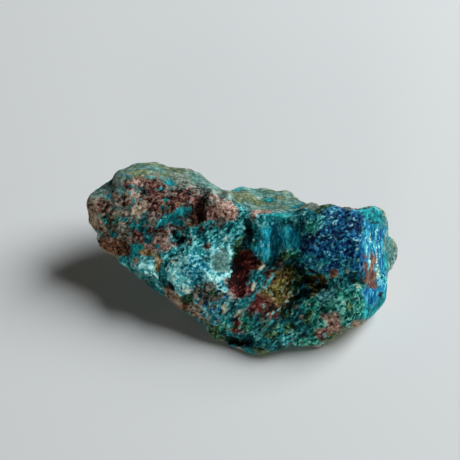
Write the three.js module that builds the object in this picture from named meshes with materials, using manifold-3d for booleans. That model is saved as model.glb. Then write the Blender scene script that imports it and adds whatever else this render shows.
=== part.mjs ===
// A rough piece of shattuckite in copper ore, one solid stone 46 mm long, in millimetres, +Z up.
// It lies on a small broken flat, with its broad front leaning back and its narrow end lifted clear.
// The origin is at the middle of its box, on the surface that it lies on.
import * as THREE from "three";
import { mergeVertices } from "three/addons/utils/BufferGeometryUtils.js";
import { TessellateModifier } from "three/addons/modifiers/TessellateModifier.js";
import { ImprovedNoise } from "three/addons/math/ImprovedNoise.js";
import Module from "manifold-3d";

const wasm = await Module();
wasm.setup();

// ---- Driving values ----
const LEAN = THREE.MathUtils.degToRad(45); // how far the broad front leans back
const HEART = new THREE.Vector3(0, 0, 8.7); // the middle of the front's own frame
const EDGE = 1.3; // longest edge of a facet
const WEAR = { rounds: 1, amount: 0.4, drawnIn: 0.12 }; // how far the broken edges are worn round
const LUMPS = [
  { length: 5.0, height: 0.5 },
  { length: 2.4, height: 0.45 },
];
const BACK_ROUGHER = 1.1; // how much higher the lumps are on the back than on the front

// ---- The leaning front's own frame: across (+X), up the slope, and out from it ----
const UP = new THREE.Vector3(0, Math.cos(LEAN), Math.sin(LEAN));
const OUT = new THREE.Vector3(0, -Math.sin(LEAN), Math.cos(LEAN));

const toPart = ([across, up, out]) =>
  HEART.clone().addScaledVector(UP, up).addScaledVector(OUT, out).setX(across);
function toFront([x, y, z]) {
  const p = new THREE.Vector3(0, y, z).sub(HEART);
  return [x, p.dot(UP), p.dot(OUT)];
}

// ---- The rim, where the front turns over into the back, clockwise from the narrow end ----
// Every corner of the stone was placed by hand; here and below each is [across, up, out].
const RIM = [
  // round the narrow end
  [-22.9, 7.3, -5.0], [-22.4, 8.8, -6.0], [-21.2, 10.1, -7.0], [-20.3, 11.0, -8.0], [-19.1, 12.5, -9.0],
  [-17.5, 13.6, -10.0], [-15.6, 14.3, -10.5], [-13.2, 14.4, -11.0], [-11.5, 14.0, -11.0],
  [-9.9, 13.8, -11.0], [-8.0, 13.0, -10.5], [-5.8, 11.8, -10.0], [-4.4, 11.0, -9.5],
  // the saddle, and the lobe at the back
  [-3.0, 9.8, -9.5], [-1.7, 9.7, -11.0], [-0.3, 10.2, -12.5], [2.8, 10.2, -13.5], [5.5, 10.2, -13.5],
  [7.8, 9.6, -13.0], [9.0, 8.8, -11.0], [9.8, 8.0, -8.5], [10.4, 7.6, -5.0],
  // over the block, and the knob on its shoulder
  [11.1, 7.5, -1.5], [12.8, 7.6, -0.5], [14.5, 7.2, 0.0], [16.1, 7.1, 0.0], [17.5, 7.6, -1.0],
  [19.1, 7.4, -2.0], [20.6, 6.7, -3.0], [21.1, 5.6, -3.5], [20.9, 4.0, -3.5], [21.2, 2.8, -4.5],
  // the low knob behind the wide end
  [22.5, 2.4, -6.5], [23.2, 1.3, -7.5], [23.2, -0.3, -7.5], [22.5, -1.6, -6.5], [21.3, -2.6, -5.0],
  // down the wide end
  [21.0, -4.2, -4.0], [20.7, -6.4, -3.0], [19.6, -7.7, -2.0], [18.7, -8.8, -1.0],
  // along the foot
  [17.3, -9.7, 0.0], [15.0, -10.6, 0.5], [13.4, -11.5, 1.0], [10.9, -12.3, 1.0], [7.8, -12.8, 1.0],
  [5.2, -13.2, 1.3], [2.9, -13.7, 1.3], [0.8, -13.5, 1.2], [-1.1, -13.1, 1.0], [-2.4, -12.6, 0.8],
  // up under the narrow end
  [-3.7, -11.6, 0.3], [-5.6, -9.7, -0.5], [-6.9, -8.7, -1.0], [-8.8, -7.8, -1.3], [-10.8, -6.3, -2.0],
  [-12.1, -5.4, -2.3], [-13.7, -4.0, -2.8], [-16.0, -2.5, -3.5], [-18.0, -1.1, -4.0],
  [-19.6, 0.0, -4.5], [-21.0, 1.4, -4.8], [-21.8, 3.0, -5.0], [-22.2, 4.6, -5.0], [-22.5, 5.9, -5.0],
];

// ---- The front: the ends and crossings of its ridges, ledges, clefts and pits ----
const FRONT = [
  // narrow end: the weathered band that slopes away behind its face
  [-19.3, 11.2, -7.2], [-17.3, 12.7, -7.6], [-15.0, 13.2, -8.2], [-12.6, 13.2, -8.6],
  [-10.2, 12.7, -8.8], [-8.1, 11.9, -8.0], [-6.0, 10.8, -6.9], [-4.3, 10.1, -5.4],
  // the edge of that band
  [-20.7, 9.5, -5.0], [-18.7, 11.8, -5.4], [-16.5, 12.2, -5.4], [-14.2, 11.8, -5.4],
  [-11.8, 11.2, -5.0], [-9.8, 10.6, -5.2], [-7.6, 10.1, -5.4], [-5.7, 9.6, -5.6],
  // the brown face
  [-21.9, 7.3, -4.2], [-21.2, 4.7, -4.0], [-20.3, 2.2, -3.8], [-18.8, 0.8, -3.2],
  [-18.4, 9.4, -3.8], [-18.6, 6.7, -3.0], [-18.3, 3.8, -2.6], [-16.2, 10.5, -4.0],
  [-16.1, 8.2, -2.6], [-15.9, 5.6, -2.0], [-14.8, 9.8, -4.2], [-13.7, 7.7, -2.6],
  [-13.8, 5.8, -1.6], [-12.3, 9.3, -3.4], [-10.8, 7.9, -2.6], [-9.7, 9.1, -3.2],
  [-8.1, 8.8, -3.8],
  // the broken edge of the face above the valley
  [-13.3, 4.6, -1.4], [-11.5, 5.4, -1.5], [-9.3, 6.7, -1.8], [-7.6, 8.0, -2.4],
  [-6.5, 9.1, -3.6],
  // the valley beside the knob
  [-14.4, 3.6, -1.9], [-12.7, 3.8, -2.1], [-10.8, 4.6, -2.3], [-8.9, 5.6, -2.7],
  [-7.4, 6.6, -3.2], [-6.4, 7.6, -3.8], [-5.5, 8.7, -4.3],
  // the brown patch below the valley, and its pit
  [-13.6, 2.3, -1.2], [-12.1, 3.1, -1.0], [-10.6, 3.6, -1.2], [-10.5, 2.0, -0.4],
  [-12.2, 1.4, -0.4], [-9.7, 2.8, -3.2], [-8.8, 4.1, -2.2],
  // the foot of the brown face
  [-16.9, 1.8, -2.6], [-15.1, 2.0, -2.2], [-16.7, 0.7, -2.4],
  // the knob
  [-4.2, 9.5, -2.8], [-2.1, 8.7, -2.4], [-0.6, 7.1, -1.9], [-4.9, 8.4, -1.5], [-3.3, 7.8, -0.8],
  [-1.7, 7.0, -0.8], [-0.7, 5.7, -1.3], [-5.2, 7.0, -0.6], [-3.8, 6.3, 0.0], [-2.1, 5.4, -0.3],
  [-5.1, 5.5, -0.3], [-3.7, 4.4, -0.6],
  // the crevice left of the knob
  [-6.0, 6.6, -3.2], [-6.2, 5.3, -1.9],
  // the pale slope below the knob
  [-7.6, 4.3, -1.4], [-8.2, 2.7, -1.1], [-9.0, 1.3, -0.4], [-6.0, 3.7, -1.1], [-6.4, 2.0, -0.7],
  [-7.4, 0.3, 0.2], [-4.6, 2.7, -0.9], [-2.7, 3.6, -1.0], [-1.0, 4.4, -1.2], [0.0, 5.7, -0.9],
  [-5.1, 1.0, -0.6], [-3.7, 1.8, -0.9], [-2.0, 2.0, -0.9], [-6.0, -0.8, 0.6], [-4.1, 0.1, 0.1],
  [-2.0, 0.3, -0.3],
  // the smooth facet at its right, and the broken edge beside the red hollow
  [-4.4, -1.2, 1.0], [-1.8, -1.3, 0.5], [-2.0, -2.8, 1.3], [-3.2, -3.3, 2.3], [-4.6, -2.6, 1.9],
  // the pale lump
  [-10.9, -0.7, 0.3], [-9.2, -0.3, 0.3], [-7.5, -1.4, 0.7], [-6.4, -2.5, 1.0], [-7.3, -3.9, 1.7],
  [-8.6, -4.6, 1.7], [-9.7, -3.8, 1.4], [-10.6, -2.2, 0.9], [-8.7, -2.2, 1.2],
  // the crack that bounds the lump
  [-11.6, -1.7, -1.1], [-11.3, -3.6, -1.0], [-10.3, -5.0, -0.6], [-8.8, -5.8, 0.1],
  // the scabbed shelf left of the crack
  [-14.6, 0.3, -1.1], [-13.0, 0.4, -0.8], [-15.4, -1.3, -0.7], [-13.7, -1.0, -0.3],
  [-12.6, -0.7, -0.3], [-12.5, -2.6, 0.3], [-14.2, -2.6, -0.2], [-12.0, -4.2, 0.3],
  // the dark band under the shelf
  [-17.2, -0.8, -3.0], [-15.9, -1.9, -2.9], [-14.1, -3.2, -2.6], [-12.3, -4.6, -1.8],
  [-11.0, -5.6, -1.6],
  // the grey patch
  [-7.2, -4.8, 1.4], [-5.5, -3.7, 2.2], [-3.8, -4.2, 2.4], [-2.4, -4.9, 2.2], [-4.4, -5.7, 2.0],
  [-6.2, -6.0, 1.2], [-2.7, -6.4, 2.2],
  // the thin ledge at the lower edge
  [-9.2, -6.4, 0.0], [-7.8, -7.2, 0.4], [-6.2, -7.9, 0.6], [-4.8, -8.9, 0.8],
  // the red hollow
  [-1.0, 1.0, -1.9], [0.2, 1.7, -2.1], [0.9, 0.4, -1.6], [1.9, -0.6, -1.1], [-1.2, -0.6, -2.3],
  [-0.9, -1.9, -1.9], [0.6, -1.5, -0.9], [-1.4, -3.3, -0.8], [0.2, -3.4, -0.1],
  [-2.0, -4.1, 0.6], [-0.7, -5.0, 0.4],
  // the spur between the hollow and the gold band
  [2.8, -1.3, -0.2], [2.0, -2.1, 0.6], [1.3, -3.4, 1.2], [0.5, -4.7, 1.8], [-0.4, -6.1, 2.2],
  // the gold band
  [4.2, -1.2, -0.4], [5.9, -0.8, -0.7], [7.6, -1.1, -1.1], [3.5, -2.7, 0.6], [5.4, -2.6, 0.5],
  [7.3, -2.9, 0.1], [2.5, -4.2, 1.3], [4.2, -4.4, 1.3], [6.2, -4.4, 0.9], [1.7, -5.9, 2.0],
  [3.4, -5.9, 1.8], [5.2, -5.9, 1.6], [2.6, -7.2, 2.4], [4.0, -7.4, 2.2],
  // the dark groove under the block
  [8.7, -2.2, -0.9], [10.1, -3.1, -0.4], [11.4, -3.9, 0.8], [8.3, -3.8, -0.6],
  [9.6, -4.2, 0.6], [7.7, -5.2, 0.0], [6.8, -6.5, 0.6], [5.6, -7.9, 1.4],
  // the crest
  [0.7, 6.3, -0.6], [2.0, 6.4, -0.4], [3.4, 6.3, -0.2], [4.8, 6.1, -0.2], [6.3, 6.0, 0.0],
  // the fluted wall: first cleft, first rib, second cleft, second rib
  [0.2, 4.5, -1.1], [0.2, 3.1, -1.4], [0.8, 4.6, -2.3], [0.9, 3.1, -2.8], [1.5, 5.0, -0.7],
  [2.6, 5.1, -0.3], [1.5, 3.2, -0.6], [2.6, 3.1, 0.0], [1.8, 1.4, -0.8], [2.8, 1.1, -0.3],
  [3.7, 5.0, -0.4], [3.7, 3.1, -0.3], [3.8, 1.0, -0.6], [4.6, 3.8, -1.5], [4.7, 2.1, -2.3],
  [4.9, 0.5, -1.7], [5.0, 5.0, -0.3], [6.0, 4.8, 0.1], [6.8, 4.7, 0.2], [5.5, 3.1, -0.3],
  [6.2, 3.0, 0.4], [7.0, 2.8, 0.5], [5.8, 1.0, -0.2], [6.5, 0.9, 0.5], [7.3, 1.0, 0.6],
  // the dark shoulder of the block
  [7.8, 6.1, 0.2], [9.1, 6.5, 0.6], [8.1, 4.4, 1.0], [8.0, 2.7, 1.3], [8.1, 0.9, 1.3],
  // the blue block: its upper edge, its face and its lower edge
  [10.4, 6.5, 1.3], [12.1, 6.9, 1.5], [13.9, 6.7, 1.7], [15.8, 6.7, 1.6], [9.5, 4.7, 2.1],
  [9.2, 2.7, 2.6], [9.0, 0.9, 2.8], [8.7, -0.8, 2.3], [11.5, 5.0, 2.5], [11.0, 2.7, 3.0],
  [10.6, 0.5, 3.4], [10.2, -1.6, 3.4], [13.5, 4.7, 2.7], [13.2, 2.4, 3.2], [12.6, 0.2, 3.7],
  [12.0, -2.5, 3.8], [15.5, 5.0, 2.6], [15.2, 2.4, 3.3], [14.5, 0.2, 3.8], [13.9, -2.1, 4.1],
  // the right edge of the block
  [17.0, 6.4, 1.6], [16.8, 4.1, 2.7], [16.5, 2.0, 3.5], [16.3, -0.0, 4.2], [16.2, -2.1, 4.4],
  // the end of the block
  [17.9, 5.1, 1.0], [17.8, 2.9, 1.8], [17.6, 0.8, 2.5], [17.6, -1.3, 3.0], [17.4, -3.3, 3.4],
  [18.3, -5.0, 2.5], [19.0, 4.1, 0.0], [19.0, 1.7, 0.4], [18.8, -0.4, 1.0], [18.9, -2.5, 1.3],
  [20.1, 3.1, -1.4], [19.8, 0.7, -0.7], [20.0, -1.6, -0.6], [20.1, -3.7, -0.6],
  [19.9, -5.3, -0.2],
  // the green knob on its shoulder
  [18.2, 7.1, -0.4], [19.4, 6.4, -0.6],
  // the green slope below the block: its upper edge, its face
  [12.8, -3.6, 2.4], [14.2, -3.0, 3.1], [15.7, -3.2, 3.5], [12.0, -4.6, 3.1], [10.5, -5.1, 2.4],
  [9.0, -6.1, 2.0], [7.8, -7.5, 2.4], [6.5, -8.9, 2.8], [13.6, -4.8, 3.8], [15.8, -5.0, 4.2],
  [17.2, -4.5, 3.6], [17.1, -6.2, 3.4], [11.9, -6.2, 3.8], [14.1, -6.7, 4.4], [18.7, -6.6, 1.6],
  [9.9, -7.0, 3.2], [12.0, -8.4, 4.0], [14.3, -8.7, 3.6], [16.3, -7.9, 3.4], [17.7, -8.0, 1.8],
  [8.5, -8.7, 3.4], [10.1, -9.6, 3.8], [12.4, -10.1, 3.0], [15.3, -9.5, 2.2],
  // the foot
  [-0.9, -7.5, 2.4], [0.8, -8.0, 2.8], [-1.8, -8.8, 2.0], [-0.0, -9.5, 2.6], [1.9, -9.0, 3.2],
  [3.9, -8.9, 3.0], [5.8, -10.2, 3.4], [7.9, -10.6, 3.6], [3.7, -10.7, 3.4], [1.9, -10.5, 3.0],
  [-3.5, -7.7, 2.0], [-3.3, -9.4, 1.6], [-1.8, -10.4, 2.0], [0.1, -10.8, 2.2],
  // the undercut of the foot, and the lip below it
  [-2.3, -11.5, -0.2], [-0.9, -12.0, -0.2], [0.7, -11.9, 0.6], [-1.0, -12.5, 1.4],
  [0.5, -12.7, 2.2], [2.4, -12.5, 2.6], [4.6, -12.2, 2.8], [6.8, -12.0, 2.8], [9.1, -11.6, 2.6],
  // the olive lobe behind the crest
  [-1.5, 8.8, -6.4], [0.1, 9.1, -8.8], [2.4, 9.3, -11.4], [4.7, 9.3, -11.4], [6.8, 8.8, -10.6],
  [8.3, 8.0, -8.6], [-0.7, 7.8, -4.8], [1.4, 7.6, -6.4], [3.5, 7.4, -8.2], [5.6, 7.4, -7.6],
  [7.3, 7.1, -5.6],
];

// ---- The back and the underside, as [x, y, z] ----
const BACK = [
  // the broken flat that it lies on, which is cut off level
  [-4, -4.5, -0.9], [4, -8.5, -0.9], [12, -6, -0.9], [15, -1, -0.9], [15, 4, -0.9], [10, 9, -0.9],
  [3, 10.5, -0.9], [-5, 8.5, -0.9], [-9, 2.5, -0.9], [3, 1, -1.4],
  // under the narrow end: a broken step, and the hollow beyond it
  [-11, 0.5, 1.4], [-12, 4, 1.9], [-11.5, 8, 1.2], [-14, 1, 4.0], [-14.5, 5.5, 2.6], [-13.5, 10.5, 2.2],
  [-17, 3.5, 5.6], [-17.5, 7.5, 4.0], [-16.5, 11.5, 4.0], [-20, 6, 8.0], [-20.3, 9.5, 6.6], [-19, 12.5, 6.4],
  // the back of the narrow end: a shoulder, a ledge and a pit
  [-20.5, 12, 8.6], [-18.5, 15, 9.6], [-15.5, 17, 9.6], [-12, 17.6, 9.0], [-17, 15, 6.6], [-13.5, 17, 6.4],
  [-10, 15.2, 7.0], [-9.5, 17.4, 5.0], [-14, 14, 3.8], [-10, 13, 1.6], [-7, 16.4, 8.0], [-5.5, 14.2, 5.6],
  [-6, 14.6, 2.6], [-5.5, 12, 1.0],
  // under the lobe at the back
  [-1.5, 15.8, 4.6], [2.5, 16.2, 4.2], [6.5, 15.4, 4.4], [-2, 13, 2.8], [2.5, 13.4, 1.2], [6, 13.2, 2.6],
  [9, 12.2, 2.6],
  // the back of the wide end: a slab's edge, and the hollow below it
  [11.5, 7.4, 10.2], [14.5, 7.2, 10.2], [17.5, 7.6, 9.0], [12.2, 9.6, 7.0], [15.2, 10, 6.4], [11, 11.2, 4.6],
  [14.5, 9.2, 4.2], [18, 8.8, 5.6], [18.5, 6.8, 3.4], [12, 11.4, 1.8], [15.5, 9.2, 1.4], [20, 6.2, 4.4],
  [20.2, 4.0, 1.8], [18.8, 0.5, 0.8], [17.5, -3, 0.2], [17.6, 4.8, 0.4], [6.5, 11.8, 0.4],
];

// ---- A skin of flat facets between an outline and the corners inside it ----
// Each corner parts the triangle that it lies in, and an edge between two triangles is turned where
// that makes them less narrow. Points are [across, up, ...]; the outline's own edges stay.
function facets(points, outlineCount) {
  const flat = points.map(([across, up]) => new THREE.Vector2(across, up));
  const side = (p, q, r) => flat[q].clone().sub(flat[p]).cross(flat[r].clone().sub(flat[p]));
  const angleAt = (p, q, r) =>
    flat[q].clone().sub(flat[p]).angleTo(flat[r].clone().sub(flat[p]));
  const triangles = THREE.ShapeUtils.triangulateShape(flat.slice(0, outlineCount), []).map(([p, q, r]) =>
    side(p, q, r) > 0 ? [p, q, r] : [p, r, q],
  );
  for (let corner = outlineCount; corner < flat.length; corner++) {
    const holds = ([p, q, r]) =>
      Math.min(side(p, q, corner), side(q, r, corner), side(r, p, corner)) >= 0;
    const home = triangles.findIndex(holds);
    const [p, q, r] = triangles[home];
    triangles[home] = [p, q, corner];
    triangles.push([q, r, corner], [r, p, corner]);
  }
  const key = (p, q) => `${p}_${q}`;
  let turned = true;
  while (turned) {
    turned = false;
    const opposite = new Map();
    triangles.forEach(([p, q, r], i) => {
      opposite.set(key(p, q), [i, r]);
      opposite.set(key(q, r), [i, p]);
      opposite.set(key(r, p), [i, q]);
    });
    const used = new Set();
    for (const [name, [i, far]] of opposite) {
      const [p, q] = name.split("_").map(Number);
      const other = opposite.get(key(q, p));
      if (!other || used.has(i) || used.has(other[0])) continue;
      const [j, near] = other;
      const narrow = angleAt(far, p, q) + angleAt(near, p, q) > Math.PI + 1e-6;
      if (!narrow || side(far, near, q) <= 0 || side(near, far, p) <= 0) continue;
      triangles[i] = [far, near, q];
      triangles[j] = [near, far, p];
      used.add(i).add(j);
      turned = true;
    }
  }
  return triangles;
}

// ---- The stone's skin: front and back share the rim, and every facet is parted into small ones ----
const frontPoints = [...RIM, ...FRONT];
const backPoints = [...RIM, ...BACK.map(toFront)];
const corners = [];
for (const triangle of facets(frontPoints, RIM.length))
  for (const i of triangle) corners.push(toPart(frontPoints[i]));
for (const [p, q, r] of facets(backPoints, RIM.length))
  for (const i of [p, r, q]) corners.push(toPart(backPoints[i]));
const SPLIT_ROUNDS = 30;
const split = new TessellateModifier(EDGE, SPLIT_ROUNDS).modify(
  new THREE.BufferGeometry().setFromPoints(corners),
);
const skin = mergeVertices(split);
const place = skin.attributes.position;
const pointAt = (i) => new THREE.Vector3().fromBufferAttribute(place, i);

// ---- Wear: each corner moves a little towards the middle of its neighbours ----
const neighbours = Array.from({ length: place.count }, () => new Set());
for (let i = 0; i < skin.index.count; i += 3) {
  const [a, b, c] = [0, 1, 2].map((k) => skin.index.getX(i + k));
  neighbours[a].add(b).add(c);
  neighbours[b].add(c).add(a);
  neighbours[c].add(a).add(b);
}
for (let round = 0; round < WEAR.rounds; round++) {
  const worn = neighbours.map((near, i) => {
    const middle = new THREE.Vector3();
    for (const n of near) middle.add(pointAt(n));
    return pointAt(i).lerp(middle.divideScalar(near.size), WEAR.amount);
  });
  worn.forEach((p, i) => place.setXYZ(i, ...p));
}

// ---- Roughness: lumps and pits along the skin's own direction, and what the wear drew in ----
const noise = new ImprovedNoise();
skin.computeVertexNormals();
for (let i = 0; i < place.count; i++) {
  const here = pointAt(i);
  const normal = new THREE.Vector3().fromBufferAttribute(skin.attributes.normal, i);
  const behind = THREE.MathUtils.smoothstep(-normal.dot(OUT), 0, 0.5);
  here.addScaledVector(normal, WEAR.drawnIn);
  for (const { length, height } of LUMPS) {
    const lump = noise.noise(here.x / length, here.y / length, here.z / length);
    here.addScaledVector(normal, height * (1 + BACK_ROUGHER * behind) * lump);
  }
  place.setXYZ(i, ...here);
}

// ---- The flat that it lies on ----
function solid(geometry) {
  const bare = geometry.clone();
  bare.deleteAttribute("normal");
  bare.deleteAttribute("uv");
  const merged = mergeVertices(bare);
  const vertProperties = new Float32Array(merged.attributes.position.array);
  const triVerts = new Uint32Array(merged.index.array);
  return new wasm.Manifold(new wasm.Mesh({ numProp: 3, vertProperties, triVerts }));
}
function geometryOf(manifold) {
  const mesh = manifold.getMesh();
  return new THREE.BufferGeometry()
    .setAttribute("position", new THREE.BufferAttribute(new Float32Array(mesh.vertProperties), 3))
    .setIndex(new THREE.BufferAttribute(new Uint32Array(mesh.triVerts), 1));
}
const BELOW = 80;
const ground = new THREE.BoxGeometry(BELOW, BELOW, BELOW).translate(0, 0, -BELOW / 2);
const stone = geometryOf(solid(skin).subtract(solid(ground)));
stone.computeBoundingBox();
const middle = stone.boundingBox.getCenter(new THREE.Vector3());
stone.translate(-middle.x, -middle.y, -stone.boundingBox.min.z);

const oreMaterial = new THREE.MeshStandardMaterial({ color: 0x2f7d84, roughness: 0.85, metalness: 0 });
const shattuckite = new THREE.Group();
const mesh = new THREE.Mesh(stone, oreMaterial);
mesh.name = "shattuckite_stone";
shattuckite.add(mesh);
export default shattuckite;
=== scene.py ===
# A rough piece of shattuckite in copper ore, lying on a pale table in soft light.
# It formed as one stone, so there is one piece: its form, its ores, its broken relief and its finish.
import math

import bpy
import numpy as np
from mathutils import Matrix, Vector, noise


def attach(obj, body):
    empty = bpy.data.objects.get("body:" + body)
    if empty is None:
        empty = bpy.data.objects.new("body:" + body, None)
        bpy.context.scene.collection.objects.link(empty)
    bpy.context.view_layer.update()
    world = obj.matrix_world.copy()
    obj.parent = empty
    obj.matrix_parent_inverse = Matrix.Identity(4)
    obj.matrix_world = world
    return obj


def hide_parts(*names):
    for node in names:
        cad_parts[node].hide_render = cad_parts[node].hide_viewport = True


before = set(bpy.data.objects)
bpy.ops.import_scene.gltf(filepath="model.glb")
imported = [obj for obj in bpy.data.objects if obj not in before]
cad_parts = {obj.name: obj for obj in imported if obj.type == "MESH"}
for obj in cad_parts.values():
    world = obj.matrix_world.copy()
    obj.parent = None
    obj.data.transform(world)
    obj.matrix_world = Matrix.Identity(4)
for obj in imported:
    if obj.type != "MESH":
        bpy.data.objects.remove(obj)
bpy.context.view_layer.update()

bpy.ops.object.select_all(action="DESELECT")

# ---- The rough stone ----
# One broken lump of copper ore, 46 mm long, grown and broken as a single piece.
# It takes the frame's form, in an even skin that is fine enough to carry its grain.
MM = 0.001
WELD_MM = 0.001
SKIN_MM = 0.197

cad_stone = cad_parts["shattuckite_stone"]
stone = bpy.data.objects.new("rough_shattuckite", cad_stone.data.copy())
bpy.context.scene.collection.objects.link(stone)
stone.data.materials.clear()
bpy.context.view_layer.objects.active = stone
stone.select_set(True)
bpy.ops.object.mode_set(mode="EDIT")
bpy.ops.mesh.select_all(action="SELECT")
bpy.ops.mesh.remove_doubles(threshold=WELD_MM * MM)
bpy.ops.object.mode_set(mode="OBJECT")
even_skin = stone.modifiers.new("even_skin", "REMESH")
even_skin.mode = "VOXEL"
even_skin.voxel_size = SKIN_MM * MM
bpy.ops.object.modifier_apply(modifier=even_skin.name)


def skin_points():
    points = np.empty(len(stone.data.vertices) * 3)
    stone.data.vertices.foreach_get("co", points)
    return points.reshape(-1, 3) / MM


def skin_facing():
    facing = np.empty(len(stone.data.vertices) * 3)
    stone.data.vertex_normals.foreach_get("vector", facing)
    return facing.reshape(-1, 3)


# Places on the stone are millimetres of its leaning front: across, up the slope, and out from it.
LEAN = math.radians(45)
FRONT_MIDDLE_MM = Vector((-0.06, -3.33, 8.7))
ACROSS = np.array((1, 0, 0))
UP = np.array((0, math.cos(LEAN), math.sin(LEAN)))
OUT = np.array((0, -math.sin(LEAN), math.cos(LEAN)))

form = skin_points()
place = (form - np.array(FRONT_MIDDLE_MM)) @ np.stack((ACROSS, UP, OUT), axis=1)
turned_out = skin_facing() @ OUT

# The ores: body, light grains and dark gaps as 0-255 colours, then how rough each one breaks, 0 to 1.
# Those that break less than WORN_BELOW are the weathered skin.
BODY, GRAINS, GAPS, BREAK = range(4)
WORN_BELOW = 0.2
ORES = {
    "weathered_green": ((114, 130, 117), (160, 174, 160), (78, 86, 70), 0.15),
    "weathered_teal": ((96, 136, 128), (150, 186, 178), (58, 94, 86), 0.15),
    "olive": ((100, 114, 84), (148, 156, 124), (68, 78, 48), 0.15),
    "tan": ((140, 121, 101), (182, 164, 142), (78, 60, 46), 0.3),
    "beige": ((172, 154, 132), (216, 204, 182), (112, 88, 72), 0.5),
    "pink_brown": ((144, 112, 99), (202, 172, 158), (66, 36, 31), 0.7),
    "maroon": ((90, 54, 47), (154, 114, 102), (30, 12, 10), 0.8),
    "rust": ((104, 70, 50), (160, 124, 98), (38, 20, 12), 0.6),
    "grey_brown": ((106, 105, 96), (162, 162, 150), (44, 46, 43), 0.7),
    "turquoise": ((14, 134, 140), (60, 188, 190), (3, 78, 86), 0.3),
    "deep_teal": ((12, 92, 98), (58, 154, 156), (1, 34, 40), 0.7),
    "sea": ((34, 144, 150), (132, 220, 218), (2, 56, 64), 0.9),
    "ice": ((118, 212, 216), (198, 250, 248), (36, 136, 146), 1.0),
    "sky": ((42, 150, 170), (150, 222, 230), (8, 92, 114), 0.9),
    "facet_grey": ((84, 124, 119), (128, 164, 156), (54, 94, 90), 0.2),
    "blue": ((8, 98, 148), (76, 160, 190), (1, 26, 70), 1.0),
    "night": ((8, 50, 88), (52, 104, 140), (1, 7, 30), 1.0),
    "rib_blue": ((4, 140, 164), (66, 198, 212), (1, 80, 106), 0.4),
    "azure": ((10, 108, 151), (90, 184, 211), (4, 66, 109), 0.4),
    "malachite": ((32, 146, 130), (132, 208, 188), (3, 58, 52), 0.9),
    "moss": ((46, 90, 62), (110, 144, 106), (12, 32, 20), 0.9),
    "gold": ((124, 114, 54), (186, 176, 110), (38, 32, 8), 0.8),
    "red": ((88, 34, 31), (150, 96, 90), (30, 6, 6), 0.6),
    "clay": ((112, 82, 72), (146, 118, 106), (76, 50, 42), 0.3),
    "cream": ((216, 222, 196), (240, 244, 226), (152, 172, 142), 0.3),
    "ochre": ((172, 142, 100), (208, 192, 156), (104, 76, 46), 0.5),
    # Near-black: dark specks in the grain, and painted shade laid into cracks, clefts, pits and undercuts.
    "dark_speck_and_shade": ((13, 21, 23), (44, 60, 62), (2, 3, 4), 0.8),
    # Pale crystals, made brighter than their own colour as painted light on the pale lump and the bright
    # streak on the slope.
    "pale_crystal_and_painted_light": ((168, 232, 226), (222, 252, 246), (84, 176, 176), 0.9),
}

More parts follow.
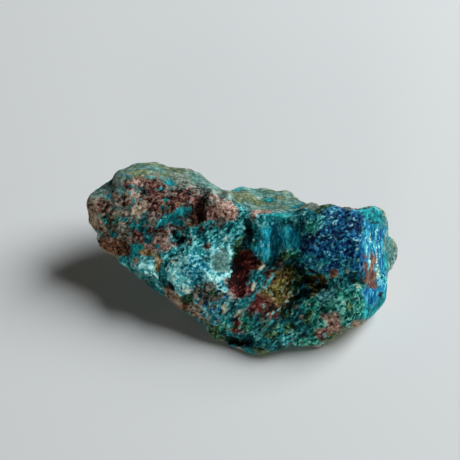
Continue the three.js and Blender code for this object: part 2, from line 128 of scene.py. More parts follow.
# Where each ore shows on the front, as places across and up it. The others come only in strips and flecks.
FRONT_ORES = {
    "weathered_green": [
        (-16, 12.9), (-14.2, 12.6), (-12, 12.4), (-9, 12.2), (-8, 11.3), (-7.5, 10.6), (-10.5, 12.0),
        (-12.6, 13.2), (-18, 11.6),
    ],
    "weathered_teal": [
        (-6.5, 11.6), (-5, 10.6), (-3.8, 9.9), (-2.2, 8.9), (-19.2, 10.9), (-20.6, 9.3), (3, 9.4),
        (7.5, 8.4), (4.3, 7.5), (4.8, 6.8), (1, 7.8), (20.8, 2.2), (22, 0.8), (22.1, -0.8),
        (20.4, 5.0),
    ],
    "olive": [
        (-17, 12.5), (-14, 13.6), (-15.6, 12.2), (0, 9), (-1.1, 8.8), (1, 9.3), (5, 9.2), (6.3, 7.8),
        (3, 8), (5.6, 7.4), (20, 7.2), (13, -11), (12.5, -11.8), (14.7, -10.4), (-5.2, -9.2),
        (22.6, 1.8),
    ],
    "tan": [
        (-21.7, 5), (-21.8, 6), (-21.9, 7.2), (16.7, -9.8), (15.9, -9.4), (-9.6, -6.2), (-10.4, -5.6),
        (-7.5, -7.8), (-6.4, -8.7), (18.6, 7.5),
    ],
    "beige": [(-15, 6.7)],
    "pink_brown": [
        (-15.2, 11.3), (-14, 10.9), (-19, 7), (-20.2, 7.2), (-21, 7.4), (-18.2, 7.2), (-11, 9.6),
        (-16.5, 8), (-4, 8.9), (-3.2, 8.5), (-3, 7.2), (-4.4, 7), (-4.3, 5.9), (-1.8, 7), (-1.4, 6.2),
        (-1.8, 5.6), (-3.2, 6.2), (-11.3, 2.8), (-12, 2.6), (-11, 2), (12.3, -8.4), (12.8, -9.3),
        (2.2, 7), (1.8, 6.5), (3, 6.8),
    ],
    "maroon": [
        (-13.2, 10.2), (-11.8, 10.3), (-9, 9.8), (-8, 9.2), (-12, 8.6), (-12.6, 7), (-9.8, 8.6),
        (-10, 7.4), (-8, 8.2), (-11.8, 3.6), (-12.3, 6.2), (-17, 10.6), (-6.8, 8.8), (-15.4, 2.8),
        (-9.6, 3.9), (-5.9, 7.0), (-6.3, 8.2), (-6.4, 5.9),
    ],
    "rust": [
        (-20, 2.6), (-19.6, 1.6), (-18, 0.9), (-17, 1.1), (-20.4, 3.9), (-10.8, 7.8), (-9.6, 7.9),
        (1.9, -0.8), (4.6, -2.5), (3.6, -5.2), (4.9, -6), (4.5, -6.8), (-8.6, -7.3), (-7, 5.3),
        (-21.4, 2),
    ],
    "grey_brown": [
        (-17.5, 4), (-17.4, 3), (-17.3, 7.6), (-13.3, 5.8), (-14.6, 9.4), (-16.6, 5.4), (-6.8, 9.8),
        (-7.4, 9.4), (-6.2, 9.9), (-5, 8.2), (-3, 5.2), (-5.6, -4.5), (-6.7, -5.3), (-5.1, -6.1),
        (-3, -5.6), (-3.8, -4.2), (5.4, -1), (-2.2, -3.2), (13.2, -8.6),
    ],
    "turquoise": [
        (-15.7, 1), (18.4, 6.4), (19, 5.9), (19.6, 5.4), (17.9, 6.8), (18.2, -7.5), (17.6, -8.4),
        (19.5, -6.9), (21.1, -0.4), (-9.3, 5.6), (-10.4, 5.1), (7.2, 7.7), (3.3, 6.0), (5.2, 5.9),
    ],
    "deep_teal": [
        (-15.6, 4.6), (-15, 4), (-13.9, 5.2), (-12.4, 4.8), (-7.8, 6.7), (-16.4, -1.6), (-15, -2.9),
        (-13.8, -3.6), (-12.9, -4.6), (-12, -5.6), (2, 4.2), (1.7, 3.2), (2.4, -9), (3.2, -9.6),
        (2.5, -8.2), (6, -8.4), (7.5, -8), (8.3, -9.7), (9, -10.7), (0.5, -6.3), (1.1, -5.7),
        (2.6, -2.6), (2.4, -3.8), (4, -8.5), (-3.2, -6.8), (0.8, 2.9), (0.7, 2.2), (4.2, -0.4),
        (6.9, -0.9), (1.2, -2.6), (7.5, 4.8), (8.3, -4.6), (7.2, -6.8), (1.5, -12.2), (0, -13.1),
        (4, -12.7), (7.6, 5.9), (8.9, 6.4), (8.2, 4.2), (15.8, -2.7), (-2.3, -10.6), (-1, -11.9),
        (0.2, -11.8), (14.6, -3.4),
    ],
    "sea": [
        (-11, 0.6), (-9.8, 0.9), (-7.5, 3.6), (-6, 3.6), (-8.4, 2.2), (-6.5, 2.6), (-8, 1.3),
        (-1, 3.5), (0, 4.7), (-1.5, 4.3), (-4.4, 3.3), (-17, -0.7), (-16.3, -1), (0.3, 7.3),
        (0.2, 6.2), (2.2, 5.6), (5.7, 5.7), (8.4, 5.9), (14, -1.3), (10.4, 5.3), (13.2, -3.4),
        (1.8, -11), (5.3, -11.2), (7, -11.4), (-2, -9.2), (20, -2.4), (-6, 1.4),
    ],
    "ice": [
        (-8.6, 0), (-9.2, -2.4), (-8, -3.2), (-10.1, -1.9), (-3.2, 2.2), (-4.4, 1.2), (-2.4, 1.9),
        (-13.9, -1), (-14.6, -1.1), (-13, -2.2), (-12, -3.7), (-4.2, -2.5), (-8.8, -5.2), (11.6, -5.5),
        (-10.2, -3.3),
    ],
    "sky": [
        (-7, -1), (-5.8, -1.6), (-6.5, -3.2), (-7.2, 0.4), (-7.8, -1.8), (-4.3, -8.5), (-5.2, -8.3),
        (4.4, 4.8), (-2.8, -2.8),
    ],
    "facet_grey": [(-3, 0), (-2.5, -1), (-3.6, -1), (-2.1, -1.6), (-2.4, 0.8), (-3.9, -0.2)],
    "blue": [
        (12, 5.4), (14, 6), (15, 3), (13.2, 2), (11.2, 1.8), (12, 4), (14, 0.6), (9.6, 0.9),
        (11, -0.3), (15.8, -0.6), (16.2, 1.6), (16, 3), (13.5, 4.6), (15.6, 6.5), (12.4, 6.8),
        (8.8, 0.4), (15, -1.4), (16.4, -2.2), (12.3, -0.8), (9.6, -0.6),
    ],
    "night": [
        (16, 5.3), (15.3, 5), (10.6, 2.8), (9, 2.3), (8.4, 2), (12.5, 3.3), (10.6, 0.4), (16.5, 4.4),
        (13, 5.9),
    ],
    "rib_blue": [
        (4.6, 3.2), (4.8, 2.2), (4.9, 1.2), (3.3, 3), (3.5, 2), (3.2, 1.1), (3, 0.2), (5.8, 4), (6, 3),
        (6.3, 2.1), (6.8, 1.4), (7, 2.8), (3.3, 4.2),
    ],
    "azure": [
        (17.8, 4.3), (17.5, 3), (18.2, 2.4), (19, 3.4), (19.5, 2), (17, 1.5), (19.8, 0.4),
        (19.9, -1.2), (17.4, -4.5), (18.7, -5.2), (18.3, -6.1), (19.8, -3.8), (18.6, 1.2), (20.2, 3.4),
    ],
    "malachite": [
        (12.5, -6.6), (11.5, -7), (13.5, -6), (14, -4.6), (16, -5.6), (14, -8), (15.5, -8.4),
        (16.4, -7.2), (10.1, -8.6), (10.6, -6.8), (14.3, -9.2), (9.3, 4.9), (0.4, -9.2), (-3, -9.8),
        (7.2, 0.5), (8.1, -12), (10, -11.9), (9.2, -6.3), (-19, 5.2), (-18.6, 4.6), (-19.8, 5),
        (16.6, -3.9), (10.2, -10),
    ],
    "moss": [
        (11.1, 7.2), (-0.6, 2), (-1, 1.2), (7.4, -4.2), (8, -2.4), (-4.3, -5), (3.6, -10.2),
        (6.2, -9.7), (8.8, -8.3), (14.8, -6.3), (6, -7.6), (-8.3, -5.8), (5.6, 0.2), (-4.2, -10.6),
        (2, -13.2),
    ],
    "gold": [
        (5.3, -2.8), (6.6, -2.1), (3.9, -4.6), (5, -4.6), (6.3, -3.4), (5.8, -4.3), (6.9, -2.8),
        (4.6, -3.9), (4.4, -5), (10.4, -3.9), (5.6, -5.4),
    ],
    "red": [
        (0.5, -0.3), (1.2, -1), (-0.6, -3), (-0.2, -4), (0.4, -3.6), (-1.3, -3.8), (0, -4.7),
        (1.9, -6.5), (2.4, -7), (2.8, -6), (-1.3, -9.2), (11.2, -10.7), (10.9, -11.4), (3.6, -7.8),
    ],
    "clay": [(18.2, -0.8), (17.7, -2), (18.5, -2.5), (18.4, -3.5), (17.3, -3), (18.3, 0)],
    # The near-black places here are painted shade in the pit, a cleft, the red hollow and the groove under
    # the block.
    "dark_speck_and_shade": [(-9.7, 3.1), (-9.2, 2.4), (0.8, 3.8), (-1.1, -1.4), (8.4, -1.7)],
}

# A place on the front stands for the outermost skin within SPOT_MM of it, or by the edge if it falls past it.
SPOT_MM = 0.3
PAST_EDGE_MM = 0.1


def on_the_front(across, up):
    near = np.hypot(place[:, 0] - across, place[:, 1] - up)
    close = np.flatnonzero(near < max(SPOT_MM, near.min() + PAST_EDGE_MM))
    return close[np.argmax(place[close, 2])]


# The borders wander, because ores grow through one another: how long each wave is and how far it strays.
WANDER_MM = [(1.8, 0.6), (0.6, 0.4), (0.28, 0.35)]
WANDER_SEED = 6

noise.seed_set(WANDER_SEED)
wandering = place.copy()
for wave, stray in WANDER_MM:
    wandering += stray * np.array([noise.noise_vector(Vector(p) / wave) for p in form])
seeds = {
    name: [wandering[on_the_front(*spot)] for spot in spots]
    for name, spots in FRONT_ORES.items()
}

# Behind and below, patches of the same ores lie by chance, the weathered ones more often than the rest.
BACK_PATCHES = 170
HOW_OFTEN = {
    "weathered_green": 6, "weathered_teal": 5, "olive": 3, "grey_brown": 3, "pink_brown": 1,
    "maroon": 1, "tan": 1, "sea": 1, "deep_teal": 1, "turquoise": 1,
}
BACK_TURNED = 0.1
CHANCE_SEED = 11

chance = np.random.default_rng(CHANCE_SEED)
hidden = np.flatnonzero(turned_out < BACK_TURNED)
back_ores = [name for name, times in HOW_OFTEN.items() for _ in range(times)]
for index in chance.choice(hidden, BACK_PATCHES, replace=False):
    seeds[back_ores[chance.integers(len(back_ores))]].append(wandering[index])

# Each point of the skin takes the ore whose place is nearest. An ore with no place is nowhere near.
NOWHERE_MM = 1e3

names = list(ORES)
nearest = np.full((len(names), len(form)), NOWHERE_MM)
for row, name in enumerate(names):
    for seed in seeds.get(name, []):
        nearest[row] = np.minimum(nearest[row], np.linalg.norm(wandering - seed, axis=1))

# Worn ores drift into one another as clouds; broken ones meet at a line.
CLOUD_MM = 1.5
CLOUD_DRIFT_MM = 1.6
CLOUDS_APART = 10
WORN_BORDER_MM = 0.55
BROKEN_BORDER_MM = 0.12

is_worn_ore = np.array([ORES[name][BREAK] < WORN_BELOW for name in names])
for row in np.flatnonzero(is_worn_ore):
    apart = Vector((CLOUDS_APART * row, 0, 0))
    nearest[row] += CLOUD_DRIFT_MM * np.array([noise.noise(Vector(p) / CLOUD_MM + apart) for p in form])
border = np.where(is_worn_ore[nearest.argmin(axis=0)], WORN_BORDER_MM, BROKEN_BORDER_MM)
share = np.exp(-(nearest - nearest.min(axis=0)) / border)
share /= share.sum(axis=0)

# Flecks and strips are only colour, so how rough the stone breaks is settled before they are laid.
breaks_rough = share.T @ np.array([ORES[name][BREAK] for name in names])


def smooth_step(x, low, high):
    t = np.clip((x - low) / (high - low), 0, 1)
    return t * t * (3 - 2 * t)


# One strip or fleck of an ore is laid round a point of the skin. It goes this much deeper than it is wide,
# and fades out between these shares of its size.
STRIP_DEPTH_MM = 0.5
STRIP_FADE = (0.7, 1.2)
strip_place = (place + wandering) / 2


def lay(name, at, half_length, half_width, turn):
    centre = strip_place[at]
    reach = STRIP_FADE[1] * max(half_length, half_width)
    close = np.flatnonzero(np.abs(strip_place - centre).max(axis=1) < reach)
    away = strip_place[close] - centre
    cos, sin = math.cos(math.radians(turn)), math.sin(math.radians(turn))
    along = (away[:, 0] * cos + away[:, 1] * sin) / half_length
    beside = (away[:, 1] * cos - away[:, 0] * sin) / half_width
    under = away[:, 2] / (STRIP_DEPTH_MM + 2 * half_width)
    inside = np.sqrt(along**2 + beside**2 + under**2)
    cover = 1 - smooth_step(inside, *STRIP_FADE)
    share[:, close] *= 1 - cover
    share[names.index(name), close] += cover


# Stray flecks: ore, how many, half length, half width, turn and its spread, then the corners of their ground.
# Later ones lie over earlier ones.
FLECKS = [
    ("turquoise", 10, 0.3, 0.2, 0, 90, (-21, 2.5), (-8, 11.5)),
    ("deep_teal", 12, 0.34, 0.22, 0, 90, (-21, 2.5), (-8, 11.5)),
    # Near-black flecks are dark specks in the grain, partly painted shade.
    ("dark_speck_and_shade", 26, 0.22, 0.14, 30, 90, (-21, 1), (-13, 10)),
    ("dark_speck_and_shade", 30, 0.24, 0.15, 30, 90, (-13, 6), (-6, 10.5)),
    ("pink_brown", 60, 0.3, 0.2, 0, 90, (-21, 2), (-12, 10.5)),
    ("facet_grey", 26, 0.34, 0.22, 0, 90, (-20, 3), (-9, 10.5)),
    ("maroon", 44, 0.4, 0.25, 0, 90, (-21, 3.6), (-5, 10)),
    ("grey_brown", 50, 0.45, 0.28, 0, 90, (-21, 2), (-7, 11)),
    ("dark_speck_and_shade", 36, 0.3, 0.12, 60, 60, (-11, -5), (-4.5, 4)),
    ("ice", 56, 0.45, 0.16, 45, 40, (-10.3, -5), (-1.5, 3.2)),
    ("weathered_teal", 16, 0.4, 0.22, 0, 90, (-16, -4), (-11.5, -0.8)),
    ("rib_blue", 36, 0.3, 0.12, 60, 90, (7.5, -1.5), (16.5, 7)),
    ("ice", 12, 0.2, 0.08, 60, 90, (7.5, -1.5), (16.5, 7)),
    ("night", 44, 0.35, 0.2, 60, 60, (8, -2.5), (16.5, 7)),
    ("azure", 12, 0.6, 0.15, 88, 10, (15.9, -3), (17.5, 5)),
    ("ice", 60, 0.35, 0.1, 55, 25, (0.5, -8), (17, -3)),
    ("dark_speck_and_shade", 70, 0.35, 0.12, 55, 30, (-2, -12.5), (17, -3)),
    ("ice", 40, 0.3, 0.12, 30, 60, (-4, -12.5), (16, -8)),
    ("tan", 10, 0.3, 0.2, 30, 60, (-5, -12.5), (12, -8)),
    ("moss", 30, 0.4, 0.2, 30, 40, (-4, -13), (13, -7)),
    ("ice", 30, 0.3, 0.12, 45, 60, (-7, -8), (-2, -3.5)),
    ("dark_speck_and_shade", 40, 0.3, 0.14, 30, 60, (-7.5, -8.5), (-2, -3.5)),
    ("red", 14, 0.3, 0.15, 55, 20, (3, -7), (6, -2)),
    ("cream", 14, 0.28, 0.07, 55, 15, (3, -6), (7, -2.5)),
    ("ice", 24, 0.4, 0.07, 85, 12, (1.3, 0), (7.5, 6)),
    ("rib_blue", 34, 0.5, 0.18, 20, 40, (8, -2.5), (15.5, 0.3)),
    ("sea", 12, 0.4, 0.15, 20, 40, (8, -2.5), (15.5, 0.3)),
    ("rib_blue", 26, 0.9, 0.16, 88, 5, (16.8, -6.5), (20.2, 5.5)),
    ("beige", 26, 0.3, 0.18, 0, 90, (-20.5, 4), (-12, 8.5)),
    ("weathered_teal", 9, 0.9, 0.45, 10, 25, (-1, 7), (8, 9.8)),
    ("olive", 8, 1.1, 0.5, 10, 30, (-20, 11), (-9, 14)),
    ("facet_grey", 10, 1.0, 0.4, 10, 30, (-20, 11), (-9, 14)),
    ("ice", 44, 0.22, 0.12, 60, 90, (8.5, -1), (16.4, 7)),
    ("night", 26, 0.3, 0.14, 60, 90, (8.5, -1), (16.4, 7)),
    ("dark_speck_and_shade", 34, 0.28, 0.14, 40, 90, (-12.8, 7), (-7.2, 10)),
    ("facet_grey", 12, 0.34, 0.2, 0, 90, (-19, 5), (-14, 8.4)),
    ("beige", 24, 0.3, 0.18, 0, 90, (-19, 5), (-14, 8.4)),
    ("maroon", 14, 0.25, 0.15, 0, 90, (-5, 4.4), (-1.2, 8.4)),
    ("blue", 10, 0.45, 0.22, 20, 40, (-6.4, -7.8), (-2.5, -5.4)),
    ("ice", 18, 0.3, 0.12, 60, 60, (-5.6, -8.2), (-1, -6)),
    ("maroon", 22, 0.3, 0.18, 0, 90, (-18, 4.5), (-12, 9)),
    ("facet_grey", 8, 0.4, 0.22, 0, 90, (-20.5, 6), (-15, 10)),
    ("turquoise", 16, 0.3, 0.1, 60, 40, (1, -2), (8, 6)),
    ("dark_speck_and_shade", 14, 0.25, 0.13, 30, 90, (17.2, 4.8), (21.4, 7.8)),
    ("deep_teal", 14, 0.35, 0.18, 30, 90, (17.2, 4.8), (21.4, 7.8)),
    ("grey_brown", 18, 0.5, 0.3, 30, 60, (-7, -6), (-2.8, -3.8)),
    ("sea", 16, 0.35, 0.13, 20, 60, (8.4, -2.7), (13, -0.8)),
]

FRONT_TURNED = 0.2
FLECK_SIZES = (0.6, 1.3)

across_and_up = place[:, :2]
for name, count, half_length, half_width, turn, spread, low, high in FLECKS:
    in_ground = (across_and_up > low).all(axis=1) & (across_and_up < high).all(axis=1)
    ground = np.flatnonzero(in_ground & (turned_out > FRONT_TURNED))
    for index in chance.choice(ground, count, replace=False):
        size = chance.uniform(*FLECK_SIZES)
        turned = turn + chance.uniform(-spread, spread)
        lay(name, index, half_length * size, half_width * size, turned)

# Strips and specks that have a place of their own: across, up, half length, half width, and turn in degrees.
STRIPS = {
    "ice": [
        (-4.2, -2.4, 1.1, 0.5, -12), (-4.8, 0, 0.2, 1.4, -8), (3.9, -3, 0.2, 1.4, -32),
        (-1.5, 1, 0.22, 1.1, 0), (2.8, 4.6, 0.9, 0.14, -15), (17.1, 3.9, 0.12, 0.4, 20),
        (17.9, -0.2, 0.12, 1.6, 0), (19.8, 1.2, 0.12, 1.3, 3), (19.7, -2.6, 0.12, 1.2, 3),
        (18.9, 1.7, 0.12, 1.1, 2), (17.6, 1.6, 0.12, 1.4, 0), (19.2, 3.4, 0.14, 0.8, 0),
    ],
    "turquoise": [
        (-10.75, 11.1, 1.05, 0.45, -12), (-13.6, 11.8, 0.7, 0.22, -12), (-15.5, 8.45, 0.25, 0.5, 20),
        (-10.9, 8.4, 0.4, 0.32, 0), (-9.7, 5.7, 3.1, 0.5, 28), (-15.7, 1, 0.7, 0.6, 0),
        (-12.6, 1.5, 0.4, 0.3, 0), (19.3, 6.2, 1.6, 1.1, -30), (18.1, -7.7, 0.8, 0.7, 40),
        (3.7, 8.6, 0.95, 0.4, 8),
    ],
    "deep_teal": [
        (-13.9, 3, 0.6, 0.9, 10), (-19.1, 3, 0.45, 0.6, 0), (-15.5, 4.4, 1.4, 0.5, -10),
        (-11.5, 7.1, 0.3, 0.5, 0), (-17.2, 5.6, 0.5, 0.4, 0), (19.2, 4.9, 0.9, 0.25, -10),
        (18.6, 6.8, 0.55, 0.22, 30), (19.9, 5.9, 0.5, 0.2, -40), (20.4, 6.5, 0.35, 0.25, 0),
        (21.5, 1.1, 0.35, 0.6, 15), (21.9, -0.3, 0.4, 0.35, 0),
    ],
    "facet_grey": [
        (-17.8, 9.8, 0.6, 0.7, 0), (-16.2, 10.6, 0.6, 0.3, 0), (-16.6, 7.2, 0.6, 0.4, 30),
        (-3, -0.4, 1.3, 1.6, 8), (21.9, 1.0, 0.6, 1.4, 0),
    ],
    "weathered_teal": [(-19.8, 8.8, 0.6, 0.55, 0)],
    "rib_blue": [(-19.7, 8.8, 0.35, 0.35, 0)],
    "cream": [
        (-8, -5, 0.55, 0.25, 5), (-2.5, -7.5, 0.3, 0.65, -12), (-1.3, -8.1, 0.25, 0.5, -25),
        (-0.6, -7.5, 0.25, 0.42, -35), (1.6, -4.1, 0.25, 0.75, -28), (2.7, -1.2, 0.7, 0.22, 42),
        (18.2, 2.8, 0.1, 0.9, 0), (19.3, -0.2, 0.1, 1.6, 2), (19.1, -2.4, 0.1, 1.2, 0),
        (-4.7, -2.3, 0.4, 0.12, -12), (-2.6, 2.7, 0.2, 0.4, -20), (16.1, -3.9, 0.35, 0.18, 20),
        (9.5, -5.1, 0.2, 0.5, -35), (9.1, -6.3, 0.25, 0.2, 0), (11.5, -8.6, 0.4, 0.3, 50),
    ],
    # Near-black strips are painted shade along the crack, the clefts, the knob's crevice, the undercut at the
    # foot and the line under the block.
    "dark_speck_and_shade": [
        (-11.6, -2.4, 0.14, 1, 0), (-10.6, -4.3, 0.9, 0.25, -50), (-14.4, 9.8, 0.3, 0.4, 0),
        (-19.1, 9.75, 0.4, 0.14, 0), (0.8, 3.2, 0.2, 1.2, 0), (9.6, -2.2, 1.1, 0.4, -20),
        (1.5, -13, 1.6, 0.2, -5), (5, -12.9, 1.5, 0.18, 3), (-0.4, -11.9, 0.8, 0.25, 4),
        (12.2, -8.6, 0.3, 0.25, -30), (19.8, -5.6, 0.4, 0.5, 0), (15, -2.5, 1.3, 0.14, 0),
        (-5.9, 7.6, 0.18, 1.3, -25), (-9.5, 3, 0.35, 0.65, 0), (7.5, -5.4, 1.5, 0.28, 56),
    ],
    "red": [
        (2.2, -5.9, 0.95, 0.5, 52), (-1.2, -9.1, 0.35, 0.45, -30), (2, -6.6, 0.6, 0.75, -30),
        (11.3, -10.5, 0.5, 0.35, 20), (-0.5, -3.3, 1.1, 0.8, 60), (1.0, -0.7, 1.0, 0.7, -10),
    ],
    "ochre": [
        (-9.9, -0.4, 0.28, 0.22, 0), (14.6, -2.3, 0.22, 0.15, 0), (-14, 0.5, 1.5, 0.5, -8),
        (-12.5, -0.4, 1.1, 0.55, -52), (-11.95, -1.4, 0.4, 0.8, 0), (-15.4, -0.2, 0.3, 0.5, 0),
    ],
    "pink_brown": [
        (12.4, -8.2, 0.8, 0.42, 30), (11.9, -9.1, 0.6, 0.36, -20), (13.1, -8.9, 0.45, 0.34, 0),
        (10.6, -10.6, 0.5, 0.35, 40), (10.9, -11.5, 0.5, 0.3, 0),
    ],
    "beige": [
        (-15, 6.7, 0.9, 0.35, 10), (-15.2, 9.2, 0.4, 0.25, 30), (12.7, -8.2, 0.35, 0.2, 20),
        (11.9, -8.9, 0.35, 0.18, -30), (13.2, -8.9, 0.22, 0.16, 0),
    ],
    "clay": [
        (18.35, -0.4, 0.24, 0.8, 0), (18.3, -1.4, 0.44, 0.9, 0), (18.25, -2.5, 0.6, 0.9, 0),
        (18.15, -3.6, 0.95, 0.75, -12), (18.55, -2.6, 0.45, 0.6, 0), (18.8, -3.9, 0.5, 0.45, -20),
        (12.2, -2.4, 0.75, 0.7, 0),
    ],
    "maroon": [(-5.1, 1.8, 0.45, 0.5, -20), (-4.9, 6.3, 0.3, 1.2, -10)],
    "gold": [
        (5.2, -3.7, 1.9, 0.75, 50), (4.9, -5.5, 1.4, 0.5, 50), (10.1, -4.5, 0.8, 0.45, 50),
        (6.7, -1.6, 1.1, 0.5, 40),
    ],
    # These pale strips are pale crystals and painted light on the lump and the bright streak on the slope.
    "pale_crystal_and_painted_light": [
        (-4, -2.6, 1.2, 0.42, -12), (-9.4, -1.6, 0.6, 0.28, 30), (-8.9, -2.7, 0.7, 0.32, -40),
        (-10, -2.6, 0.28, 0.5, 10), (-8.5, -3.8, 0.5, 0.28, -30), (-9.3, -0.7, 0.5, 0.22, 0),
        (-10.5, -1.2, 0.3, 0.35, 0), (-13.2, -1.4, 0.6, 0.25, -30), (-7.6, -4.6, 0.4, 0.15, 20),
        (-14.3, -0.4, 0.4, 0.2, 10), (-12.6, -2.8, 0.3, 0.2, -40),
    ],
    "rust": [
        (12.2, -2.9, 0.4, 0.3, 0), (6.3, -2.4, 0.6, 0.4, 40), (4.4, -3.5, 0.7, 0.2, 55),
        (7, -6.8, 0.4, 0.3, 40),
    ],
}

for name, strips in STRIPS.items():
    for across, up, half_length, half_width, turn in strips:
        lay(name, on_the_front(across, up), half_length, half_width, turn)

# Amounts and colours are kept on the points of the skin, where the finish reads them.
ATTRIBUTE_FIELDS = {"FLOAT": "value", "FLOAT_VECTOR": "vector"}


def keep(name, kind, values):
    kept = stone.data.attributes.new(name, kind, "POINT")
    kept.data.foreach_set(ATTRIBUTE_FIELDS[kind], values.ravel())


# The ores' colours are as a screen shows them; the finish needs them as amounts of light.
SCREEN_GAMMA = 2.2

for name, column in [("ore_body", BODY), ("ore_grains", GRAINS), ("ore_gaps", GAPS)]:
    shown = np.array([ORES[ore_name][column] for ore_name in names])
    keep(name, "FLOAT_VECTOR", share.T @ (shown / 255) ** SCREEN_GAMMA)

# Some ores grew as strands: which way they run, in degrees, and how many times their grain is drawn out.
STRANDS = [
    (90, 3.2, ["rib_blue", "azure"]),
    (52, 2.4, ["gold", "malachite", "moss", "red", "sea", "deep_teal", "turquoise"]),
]

grain_place = place.copy()
main_ore = share.argmax(axis=0)
for turn, drawn_out, strand_ores in STRANDS:
    along = np.array((math.cos(math.radians(turn)), math.sin(math.radians(turn)), 0))
    stranded = np.isin(main_ore, [names.index(name) for name in strand_ores])
    run = place[stranded] @ along
    grain_place[stranded] -= np.outer(run * (1 - 1 / drawn_out), along)
keep("grain_place", "FLOAT_VECTOR", grain_place)


# How strongly each point is worn or broken is marked in even steps.
def mark(name, amounts, steps):
    group = stone.vertex_groups.new(name=name)
    nearest_step = np.round(amounts * steps)
    for step in range(1, steps + 1):
        group.add(np.flatnonzero(nearest_step == step).tolist(), step / steps, "REPLACE")


# The weathered skin is worn smooth, down to just above the table.
WEAR_STARTS = (0.6, 0.85)
WEAR_CLEARS_TABLE_MM = (0.3, 1.5)
WEAR_STEPS = 10
WEAR_PASSES = 24
WEAR_EACH_PASS = 0.6

clear_of_table = smooth_step(form[:, 2], *WEAR_CLEARS_TABLE_MM)
mark("worn", smooth_step(1 - breaks_rough, *WEAR_STARTS) * clear_of_table, WEAR_STEPS)
wear = stone.modifiers.new("wear", "SMOOTH")
wear.factor = WEAR_EACH_PASS
wear.iterations = WEAR_PASSES
wear.vertex_group = "worn"
bpy.ops.object.modifier_apply(modifier=wear.name)

# Its broken relief: lumps, then grains, then grit. Nothing moves where it meets the table.
RELIEF_MM = [
    ("lumps", "SOFT_NOISE", 1.3, 0.40),
    ("flakes", "HARD_NOISE", 0.7, 0.40),
    ("grit", "HARD_NOISE", 0.35, 0.25),
]
RELIEF_CLEARS_TABLE_MM = (0.05, 0.8)
RELIEF_STEPS = 20
HALF_IN_HALF_OUT = 0.5

mark("rough", smooth_step(form[:, 2], *RELIEF_CLEARS_TABLE_MM) * breaks_rough, RELIEF_STEPS)
for name, kind, size, height in RELIEF_MM:
    pattern = bpy.data.textures.new(name, "CLOUDS")
    pattern.noise_type = kind
    pattern.noise_scale = size * MM
    step = stone.modifiers.new(name, "DISPLACE")
    step.texture = pattern
    step.texture_coords = "LOCAL"
    step.strength = height * MM
    step.mid_level = HALF_IN_HALF_OUT
    step.vertex_group = "rough"
    bpy.ops.object.modifier_apply(modifier=step.name)
bpy.ops.object.shade_smooth()

# Hollows are painted darker, as dirt and as painted shade, and crests lighter, as painted light: how far each
# point lies below the ground round it, near by and farther off.
# Each row is how many rings of points the ground is levelled over, and the depth in mm that counts as one.
HOLLOWS = [(6, 0.10), (50, 0.9)]
HOLLOWS_SHOW = 0.5

edges = np.empty(len(stone.data.edges) * 2, dtype=np.int64)
stone.data.edges.foreach_get("vertices", edges)
edges = edges.reshape(-1, 2)
ends = np.concatenate((edges, edges[:, ::-1]))
here, there = ends[:, 0], ends[:, 1]
neighbours = np.bincount(here, minlength=len(form))
relief = skin_points()
facing = skin_facing()
level_ground = relief.copy()
hollow = np.zeros(len(form))
rings_done = 0
for rings, depth in HOLLOWS:
    for _ in range(rings - rings_done):
        sums = [np.bincount(here, weights=side, minlength=len(form)) for side in level_ground[there].T]
        level_ground = np.stack(sums, axis=1) / neighbours[:, None]
    rings_done = rings
    hollow += ((level_ground - relief) * facing).sum(axis=1) / depth
keep("hollow", "FLOAT", np.clip(hollow * HOLLOWS_SHOW, -1, 1))
keep("broken", "FLOAT", breaks_rough)

# The finish: one dull ore, whose grains, gaps and body take the colours that the skin carries.
ORE_SHINE = 0.15

ore = bpy.data.materials.new("copper_ore")
ore.use_nodes = True
bsdf = ore.node_tree.nodes["Principled BSDF"]
bsdf.inputs["Specular IOR Level"].default_value = ORE_SHINE


class Wire:
    """A number, colour or vector on its way through the ore's shader."""

    def __init__(self, socket):
        self.socket = socket

    @staticmethod
    def node(kind, inputs, output=0, **settings):
        made = ore.node_tree.nodes.new(kind)
        for name, setting in settings.items():
            setattr(made, name, setting)
        for name, given in inputs.items():
            if isinstance(given, Wire):
                ore.node_tree.links.new(given.socket, made.inputs[name])
            else:
                made.inputs[name].default_value = given
        return Wire(made.outputs[output])

    def __add__(self, other):
        return Wire.node("ShaderNodeMath", {0: self, 1: other}, operation="ADD")

    def __sub__(self, other):
        return Wire.node("ShaderNodeMath", {0: self, 1: other}, operation="SUBTRACT")

    def __rsub__(self, other):
        return Wire.node("ShaderNodeMath", {0: other, 1: self}, operation="SUBTRACT")

    def __mul__(self, other):
        return Wire.node("ShaderNodeMath", {0: self, 1: other}, operation="MULTIPLY")

    __radd__ = __add__
    __rmul__ = __mul__

    def between(self, low, high):
        limits = {0: self, 1: low, 2: high}
        return Wire.node("ShaderNodeMapRange", limits, interpolation_type="SMOOTHSTEP")

    def to(self, socket):
        ore.node_tree.links.new(self.socket, socket)


# The colour sockets of this node share their names with its others, so they go by number.
def mixed(first, second, amount):
    return Wire.node("ShaderNodeMix", {0: amount, 6: first, 7: second}, output=2, data_type="RGBA")


def attribute(name, output="Vector"):
    return Wire.node("ShaderNodeAttribute", {}, output=output, attribute_name=name)


def scaled(vector, size_mm):
    return Wire.node("ShaderNodeVectorMath", {0: vector, "Scale": 1 / size_mm}, operation="SCALE")


def clouds(at, size_mm, detail, output="Fac"):
    inputs = {"Vector": scaled(at, size_mm), "Scale": 1.0, "Detail": detail}
    return Wire.node("ShaderNodeTexNoise", inputs, output=output)


def cells(at, output):
    return Wire.node("ShaderNodeTexVoronoi", {"Vector": at, "Scale": 1.0}, output=output)


# Clumps of grains, the grains themselves, which are bent out of round, and the grit between them.
CLUMP_MM = 0.7
BEND_MM = 0.33
GRAIN_MM = 0.22
GRIT_MM = 0.11

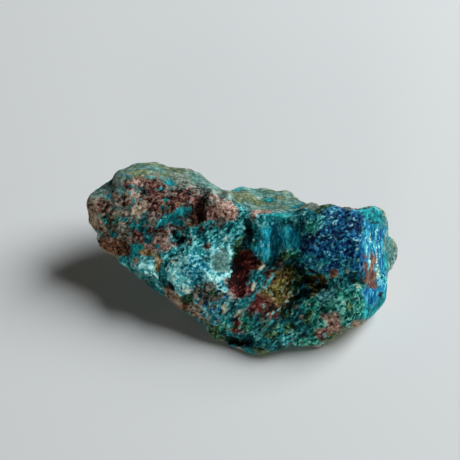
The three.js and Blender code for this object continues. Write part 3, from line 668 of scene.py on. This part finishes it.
skin = attribute("grain_place")
clumps = clouds(skin, CLUMP_MM, detail=3.0)
bend = clouds(skin, BEND_MM, detail=1.0, output="Color")
bent = Wire.node("ShaderNodeVectorMath", {0: scaled(skin, GRAIN_MM), 1: bend}, operation="ADD")
grain_tint = Wire.node("ShaderNodeSeparateColor", {"Color": cells(bent, "Color")}, output="Red")
off_middle = cells(bent, "Distance")
grit = clouds(skin, GRIT_MM, detail=2.0)
hollows = attribute("hollow", "Fac")
broken = attribute("broken", "Fac")

# How much each of these lightens the ore, or darkens it, on a tone that runs from 0 to about 1.
CLUMPS_LIGHTEN = 1.3
GRAINS_LIGHTEN = 0.28
GRIT_LIGHTENS = 0.5
GRAIN_EDGES_DARKEN = 0.25
HOLLOWS_DIRT_AND_SHADE = 0.4
DARKER_ALL_OVER = 0.31
GAPS_TO_BODY = (0.38, 0.66)
BODY_TO_GRAINS = (0.66, 0.92)

tone = (
    CLUMPS_LIGHTEN * clumps
    + GRAINS_LIGHTEN * grain_tint
    + GRIT_LIGHTENS * grit
    - GRAIN_EDGES_DARKEN * off_middle
    # Painted shade and dirt in the hollows, painted light on the crests.
    - HOLLOWS_DIRT_AND_SHADE * hollows
    - DARKER_ALL_OVER
)
with_gaps = mixed(attribute("ore_gaps"), attribute("ore_body"), tone.between(*GAPS_TO_BODY))
colour = mixed(with_gaps, attribute("ore_grains"), tone.between(*BODY_TO_GRAINS))
colour.to(bsdf.inputs["Base Color"])

# The lightest grains glint. The grain stands up only where the stone is broken.
DULL_ROUGHNESS = 0.82
GLINT = 0.3
GLINTING_TONES = (0.7, 0.95)
GRIT_RISES = 0.6
GRAIN_EDGES_SINK = 0.5
GRAIN_HEIGHT_MM = 0.12

(DULL_ROUGHNESS - GLINT * tone.between(*GLINTING_TONES)).to(bsdf.inputs["Roughness"])
height = (GRIT_RISES * grit - GRAIN_EDGES_SINK * off_middle) * broken
bump_inputs = {"Height": height, "Distance": GRAIN_HEIGHT_MM * MM, "Strength": 1.0}
Wire.node("ShaderNodeBump", bump_inputs).to(bsdf.inputs["Normal"])
stone.data.materials.append(ore)

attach(stone, "root")
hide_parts("shattuckite_stone")

# ---- Table ----
# A plain, pale, matt table top, far wider than the stone that lies loose on it.
# It is only the setting, and no part of the piece.
TABLE_SIDE = 4
TABLE_COLOUR = (0.70, 0.70, 0.70, 1)
TABLE_ROUGHNESS = 0.9

bpy.ops.mesh.primitive_plane_add(size=TABLE_SIDE, location=(0, 0, 0))
table = bpy.context.object
table.name = "table"
table_top = bpy.data.materials.new("pale_table")
table_top.use_nodes = True
table_inputs = table_top.node_tree.nodes["Principled BSDF"].inputs
table_inputs["Base Color"].default_value = TABLE_COLOUR
table_inputs["Roughness"].default_value = TABLE_ROUGHNESS
table.data.materials.append(table_top)

# ---- Light ----
# A broad soft lamp behind the stone's right shoulder, a weak low one in front, and a faint glow all round.
# Each lamp: its name, which way it lies, how far off and how wide in metres, its watts and its colour.
LAMPS = [
    ("window", (0.70, 0.34, 0.63), 0.8, 0.62, 10.1, (0.93, 0.98, 1.0)),
    ("fill", (-0.1, -0.9, 0.09), 0.9, 0.36, 3.0, (0.98, 0.97, 0.91)),
]
GLOW_COLOUR = (1.0, 0.9, 0.75, 1)
GLOW_STRENGTH = 0.015

for name, towards, distance, width, watts, tint in LAMPS:
    light = bpy.data.lights.new(name, "AREA")
    light.shape = "DISK"
    light.size = width
    light.energy = watts
    light.color = tint
    lamp = bpy.data.objects.new(name, light)
    lamp.location = Vector(towards).normalized() * distance
    lamp.rotation_euler = Vector(towards).to_track_quat("Z", "Y").to_euler()
    bpy.context.scene.collection.objects.link(lamp)

room = bpy.data.worlds.new("room")
room.use_nodes = True
glow = room.node_tree.nodes["Background"].inputs
glow["Color"].default_value = GLOW_COLOUR
glow["Strength"].default_value = GLOW_STRENGTH
bpy.context.scene.world = room
bpy.context.scene.view_settings.view_transform = "Standard"

# ---- Camera ----
# It looks square on to the leaning front, from just above and beside its middle.
# Its lens is long, so the stone hardly tapers into the distance.
CAMERA_AWAY_MM = 172
CAMERA_ASIDE_MM = -1.848
CAMERA_ABOVE_MM = 3.838
LENS_MM = 94.7
SENSOR_MM = 36
NEAREST_SEEN = 0.01

camera_lens = bpy.data.cameras.new("camera")
camera_lens.lens = LENS_MM
camera_lens.sensor_width = SENSOR_MM
camera_lens.clip_start = NEAREST_SEEN
camera = bpy.data.objects.new("camera", camera_lens)
eye = (
    FRONT_MIDDLE_MM
    + Vector(ACROSS) * CAMERA_ASIDE_MM
    + Vector(UP) * CAMERA_ABOVE_MM
    + Vector(OUT) * CAMERA_AWAY_MM
)
camera.matrix_world = Matrix.Translation(eye * MM) @ Matrix.Rotation(LEAN, 4, "X")
bpy.context.scene.collection.objects.link(camera)
bpy.context.scene.camera = camera
